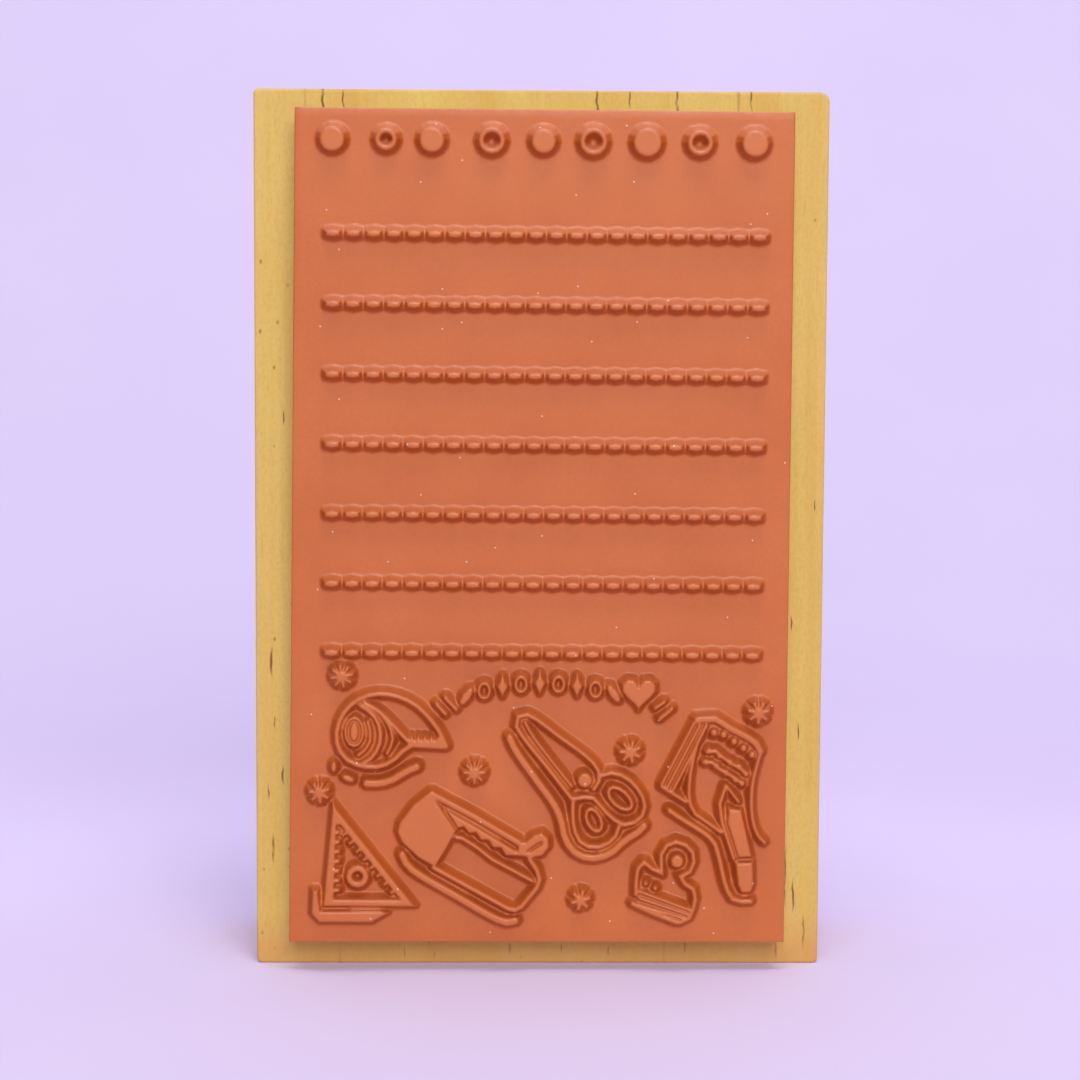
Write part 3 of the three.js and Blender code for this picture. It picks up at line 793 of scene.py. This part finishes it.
def cushion(material):
    """The foam layer: its cut sides are drawn in a little between the films."""
    triangles = cad_triangles("foam_cushion")
    corners = outer_corners(triangles[..., [0, 2]].reshape(-1, 2))
    points, normals = [], []
    for side, count in enumerate(FOAM_SIDE_POINTS):
        start, end = corners[side], corners[(side + 1) % 4]
        direction = (end - start) / np.linalg.norm(end - start)
        for step in range(count):
            points.append(start + (end - start) * step / count)
            normals.append(np.array((direction[1], -direction[0])))
    # A corner point is drawn in along both of its sides.
    first = np.concatenate([[0], np.cumsum(FOAM_SIDE_POINTS)[:-1]])
    for side, number in enumerate(first):
        normals[number] = normals[number] + normals[number - 1 if number else -1]
    points, normals = np.array(points), np.array(normals)
    along = np.arange(len(points)) * MM
    depth = FOAM_HIGH.y - FOAM_LOW.y
    levels = []
    for step in range(FOAM_RINGS + 1):
        share = step / FOAM_RINGS
        hollow = FOAM_HOLLOW * math.sin(math.pi * share)
        ragged = waves(along, FOAM_RAGGEDNESS, (0.0031, 0.0057, 0.0103), 20 + step)
        levels.append((FOAM_LOW.y + depth * share, hollow + (ragged + FOAM_RAGGEDNESS)))
    pad = body_from_outline("foam_layer", (points, normals, along), levels, material)
    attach(pad, "block")
    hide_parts("foam_cushion")
    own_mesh(pad)
    return pad


def die(material):
    """The moulded rubber sheet, which moves with the foam's give."""
    piece = rubber_die(material)
    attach(piece, "die")
    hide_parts("rubber_die")
    return piece


def paper_label(material):
    """The label on the block's back, thinner than its CAD node by the ink that lies on it."""
    radii = {name: LABEL_RADIUS for name in CORNER_RADII}
    outline = rounded_outline((LABEL_LOW.x, LABEL_LOW.z), (LABEL_HIGH.x, LABEL_HIGH.z), radii)
    front, back = LABEL_LOW.y, LABEL_HIGH.y - INK_THICKNESS
    levels = [
        (front, 0.0),
        (back - LABEL_EDGE, 0.0),
        (back - 0.3 * LABEL_EDGE, 0.3 * LABEL_EDGE),
        (back, LABEL_EDGE),
    ]
    label = body_from_outline("paper_label", outline, levels, material)
    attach(label, "block")
    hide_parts("index_label")
    return label


def index_print(material):
    """The picture that the die prints, in ink on the label, at its real size."""
    tops = printing_tops()
    under, over = LABEL_HIGH.y - 1.5 * INK_THICKNESS, LABEL_HIGH.y
    rounded = np.round(tops.reshape(-1, 2) / SAME_PLACE)
    keys, inverse = np.unique(rounded, axis=0, return_inverse=True)
    flat = keys * SAME_PLACE
    count = len(flat)
    triangles = inverse.reshape(-1, 3)
    vertices = np.vstack([
        np.column_stack([flat[:, 0], np.full(count, over), flat[:, 1]]),
        np.column_stack([flat[:, 0], np.full(count, under), flat[:, 1]]),
    ])
    faces, open_edges = [], {}
    for a, b, c in triangles:
        if len({a, b, c}) < 3:
            continue
        (ax, az), (bx, bz), (cx, cz) = flat[a], flat[b], flat[c]
        if (bx - ax) * (cz - az) - (bz - az) * (cx - ax) > 0:
            a, c = c, a
        faces.append((int(a), int(b), int(c)))
        faces.append((int(c) + count, int(b) + count, int(a) + count))
        for p, q in ((a, b), (b, c), (c, a)):
            if (q, p) in open_edges:
                del open_edges[(q, p)]
            else:
                open_edges[(p, q)] = True
    for p, q in open_edges:
        faces.append((int(q), int(p), int(p) + count, int(q) + count))
    picture = mesh_object("index_print", vertices, faces, material, smooth=False)
    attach(picture, "block")
    return picture


def dress_films(material):
    """The two adhesive films are the CAD nodes themselves, in a detailed material."""
    for node in ("block_adhesive", "die_adhesive"):
        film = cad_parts[node]
        film.data.materials.clear()
        film.data.materials.append(material)


# ---------------------------------------------------------------- stage, light and camera


def sweep(material):
    """A pale paper sweep: floor, wide curve and wall in one sheet."""
    profile = [(SWEEP_START, 0.0), (SWEEP_BEND, 0.0)]
    for step in range(1, SWEEP_STEPS + 1):
        angle = 0.5 * math.pi * step / SWEEP_STEPS
        y = SWEEP_BEND + SWEEP_RADIUS * math.sin(angle)
        profile.append((y, SWEEP_RADIUS * (1 - math.cos(angle))))
    profile.append((SWEEP_BEND + SWEEP_RADIUS, SWEEP_WALL))
    vertices = [(side * SWEEP_HALF_WIDTH, y, z) for y, z in profile for side in (-1, 1)]
    faces = [(2 * i, 2 * i + 1, 2 * i + 3, 2 * i + 2) for i in range(len(profile) - 1)]
    floor = mesh_object("paper_sweep", vertices, faces, material)


def area_light(name, location, target, size, power, colour):
    """A rectangular lamp that points at a target."""
    data = bpy.data.lights.new(name, "AREA")
    data.shape = "RECTANGLE"
    data.size, data.size_y = size
    data.energy = power
    data.color = colour
    light = bpy.data.objects.new(name, data)
    light.location = location
    light.rotation_euler = (Vector(target) - Vector(location)).to_track_quat("-Z", "Y").to_euler()
    bpy.context.scene.collection.objects.link(light)


def lighting():
    """A large key lamp in front and above, a weaker one lower, one overhead, and one on the wall."""
    middle = (0, 0, 0.045)
    area_light("key", (0.15, -1.15, 0.66), middle, (0.7, 0.5), 7.6, (0.985, 0.98, 1.0))
    area_light("front", (0.06, -1.25, 0.25), middle, (1.1, 0.9), 2.0, (0.985, 0.975, 1.0))
    area_light("overhead", (0.03, -0.26, 0.8), middle, (0.4, 0.26), 2.2, (0.985, 0.97, 1.0))
    area_light("wall_wash", (0, 0.05, 0.95), (0, 0.5, 0.0), (1.2, 0.4), 1.7, (0.98, 0.95, 1.0))
    world = bpy.data.worlds.new("studio")
    world.use_nodes = True
    background = world.node_tree.nodes["Background"]
    background.inputs["Color"].default_value = (0.95, 0.93, 1.0, 1.0)
    background.inputs["Strength"].default_value = 0.19
    bpy.context.scene.world = world
    bpy.context.scene.view_settings.view_transform = "Standard"


def camera():
    """The camera stands in front of the block, a little to its left and above its middle."""
    forward = Vector((
        math.sin(CAMERA_YAW) * math.cos(CAMERA_PITCH),
        math.cos(CAMERA_YAW) * math.cos(CAMERA_PITCH),
        math.sin(CAMERA_PITCH),
    ))
    level = Vector((math.cos(CAMERA_YAW), -math.sin(CAMERA_YAW), 0))
    upright = level.cross(forward)
    right = level * math.cos(CAMERA_ROLL) + upright * math.sin(CAMERA_ROLL)
    up = upright * math.cos(CAMERA_ROLL) - level * math.sin(CAMERA_ROLL)
    data = bpy.data.cameras.new("camera")
    data.lens = CAMERA_LENS
    data.sensor_width = SENSOR_WIDTH
    data.clip_start = 0.01
    obj = bpy.data.objects.new("camera", data)
    foot = Vector(((BLOCK_LOW.x + BLOCK_HIGH.x) / 2, BLOCK_LOW.y, BLOCK_LOW.z))
    turn = Matrix((right, up, -forward)).transposed().to_4x4()
    obj.matrix_world = Matrix.Translation(foot + CAMERA_OFFSET) @ turn
    bpy.context.scene.collection.objects.link(obj)
    bpy.context.scene.camera = obj


camera()
lighting()
sweep(backdrop_paper())
pine_block(pine())
cushion(foam())
dress_films(adhesive_film())
die(die_rubber())
paper_label(label_paper())
index_print(index_ink())
